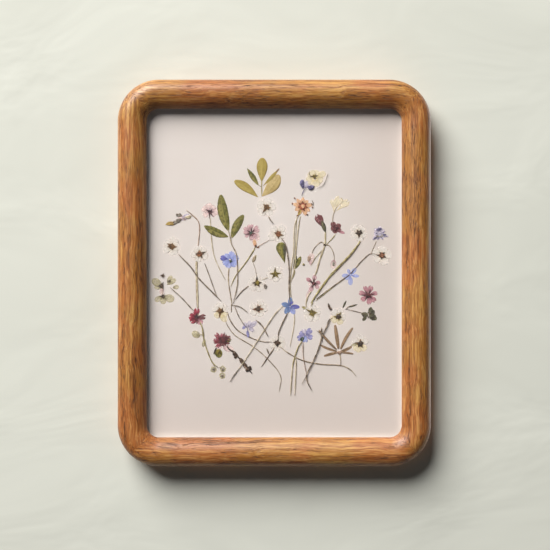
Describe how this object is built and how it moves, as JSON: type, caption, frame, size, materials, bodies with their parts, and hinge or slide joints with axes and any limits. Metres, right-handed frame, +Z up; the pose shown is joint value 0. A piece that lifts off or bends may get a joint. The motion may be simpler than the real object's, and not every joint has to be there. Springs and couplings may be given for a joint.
{
  "type": "floating picture frame",
  "caption": "Upright wall frame: rounded stained-oak mouldings hold a pale card of pressed flowers between two glass panes, with turn buttons and hanging rings behind.",
  "frame": {"origin": "on the wall plane (rear faces of the wall bumpers), behind the middle of the frame's outline", "axes": "+Z up the frame, its longest side; the front faces -Y and +Y points into the wall; +X to the right as seen from the front"},
  "size_m": [0.204, 0.0225, 0.252],
  "materials": {
    "stained_oak": "open-pored oak, warm brown stain, satin lacquer",
    "key_wood": "bare wood, glued in",
    "pane_glass": "clear float glass, polished",
    "spacer_board": "white museum board, cut edge",
    "ground_card": "smooth warm off-white card, matt",
    "filler_board": "cream filler board, matt",
    "back_board": "brown hardboard, smooth face",
    "button_brass": "brass plated, lightly worn",
    "hanger_steel": "bright zinc plated steel",
    "bumper_felt": "pressed off-white wool felt",
    "golden_leaf": "pressed dry leaf, golden olive, matt",
    "green_leaf": "pressed dry leaf, deep green, matt",
    "raceme": "pressed dry buds and stem, straw and brown, matt",
    "crimson_flower": "pressed dry petals, crimson, matt",
    "white_petal": "pressed dry petals, ivory white with brown hearts, matt",
    "blue_petal": "pressed dry petals, soft blue, matt",
    "peach_petal": "pressed dry petals, peach with red-brown marks, matt",
    "cream_petal": "pressed dry petals, cream yellow, matt",
    "plum_petal": "pressed dry buds and petals, plum and maroon, matt",
    "dark_leaf": "pressed dry leaf, brown green, matt",
    "lilac_petal": "pressed dry petals, pale lilac, matt",
    "brown_stem": "pressed dry stem and leaflets, brown, matt",
    "violet_petal": "pressed dry petals, violet, matt"
  },
  "bodies": {
    "frame": {"rail_top": "stained_oak", "rail_bottom": "stained_oak", "stile_left": "stained_oak", "stile_right": "stained_oak", "mitre_key_top_left": "key_wood", "mitre_key_top_right": "key_wood", "mitre_key_bottom_left": "key_wood", "mitre_key_bottom_right": "key_wood", "front_glass": "pane_glass", "rear_glass": "pane_glass", "edge_spacer_top": "spacer_board", "edge_spacer_bottom": "spacer_board", "edge_spacer_left": "spacer_board", "edge_spacer_right": "spacer_board", "ground_card": "ground_card", "filler_board": "filler_board", "back_board": "back_board", "button_screw_top": "button_brass", "button_screw_bottom": "button_brass", "button_screw_left_upper": "button_brass", "button_screw_left_lower": "button_brass", "button_screw_right_upper": "button_brass", "button_screw_right_lower": "button_brass", "hanger_strap_left": "hanger_steel", "hanger_screw_left": "hanger_steel", "hanger_strap_right": "hanger_steel", "hanger_screw_right": "hanger_steel", "wall_bumper_top_left": "bumper_felt", "wall_bumper_top_right": "bumper_felt", "wall_bumper_bottom_left": "bumper_felt", "wall_bumper_bottom_right": "bumper_felt", "golden_leaf_sprig": "golden_leaf", "green_leaf_sprig": "green_leaf", "golden_raceme_sprig": "raceme", "crimson_sprig": "crimson_flower", "white_fork_sprig": "white_petal", "blue_and_pink_sprig": "blue_petal", "white_pair_sprig": "white_petal", "tall_white_sprig": "white_petal", "peach_sprig": "peach_petal", "cream_sprig": "cream_petal", "branching_sprig": "plum_petal", "stout_white_sprig": "white_petal", "blue_and_lilac_sprig": "blue_petal", "dark_leaf_sprig": "dark_leaf", "lilac_fork_sprig": "lilac_petal", "maroon_sprig": "crimson_flower", "trailing_sprig": "brown_stem", "dark_stem_sprig": "brown_stem", "deep_blue_sprig": "blue_petal", "violet_sprig": "violet_petal"},
    "button_top": {"turn_button_top": "button_brass"},
    "button_bottom": {"turn_button_bottom": "button_brass"},
    "button_left_upper": {"turn_button_left_upper": "button_brass"},
    "button_left_lower": {"turn_button_left_lower": "button_brass"},
    "button_right_upper": {"turn_button_right_upper": "button_brass"},
    "button_right_lower": {"turn_button_right_lower": "button_brass"},
    "ring_left": {"hanger_ring_left": "hanger_steel"},
    "ring_right": {"hanger_ring_right": "hanger_steel"}
  },
  "joints": [
    {"name": "top_button_turn", "type": "hinge", "parent": "frame", "child": "button_top", "pos_m": [0, -0.0029, 0.1195], "axis": [0, 1, 0], "continuous": true},
    {"name": "bottom_button_turn", "type": "hinge", "parent": "frame", "child": "button_bottom", "pos_m": [0, -0.0029, -0.1195], "axis": [0, 1, 0], "continuous": true},
    {"name": "left_upper_button_turn", "type": "hinge", "parent": "frame", "child": "button_left_upper", "pos_m": [-0.0955, -0.0029, 0.072], "axis": [0, 1, 0], "continuous": true},
    {"name": "left_lower_button_turn", "type": "hinge", "parent": "frame", "child": "button_left_lower", "pos_m": [-0.0955, -0.0029, -0.072], "axis": [0, 1, 0], "continuous": true},
    {"name": "right_upper_button_turn", "type": "hinge", "parent": "frame", "child": "button_right_upper", "pos_m": [0.0955, -0.0029, 0.072], "axis": [0, 1, 0], "continuous": true},
    {"name": "right_lower_button_turn", "type": "hinge", "parent": "frame", "child": "button_right_lower", "pos_m": [0.0955, -0.0029, -0.072], "axis": [0, 1, 0], "continuous": true},
    {"name": "left_ring_swing", "type": "hinge", "parent": "frame", "child": "ring_left", "pos_m": [-0.0887, -0.0018, 0.042], "axis": [0, 0, 1], "range_deg": [0, 168]},
    {"name": "right_ring_swing", "type": "hinge", "parent": "frame", "child": "ring_right", "pos_m": [0.0887, -0.0018, 0.042], "axis": [0, 0, -1], "range_deg": [0, 168]}
  ]
}
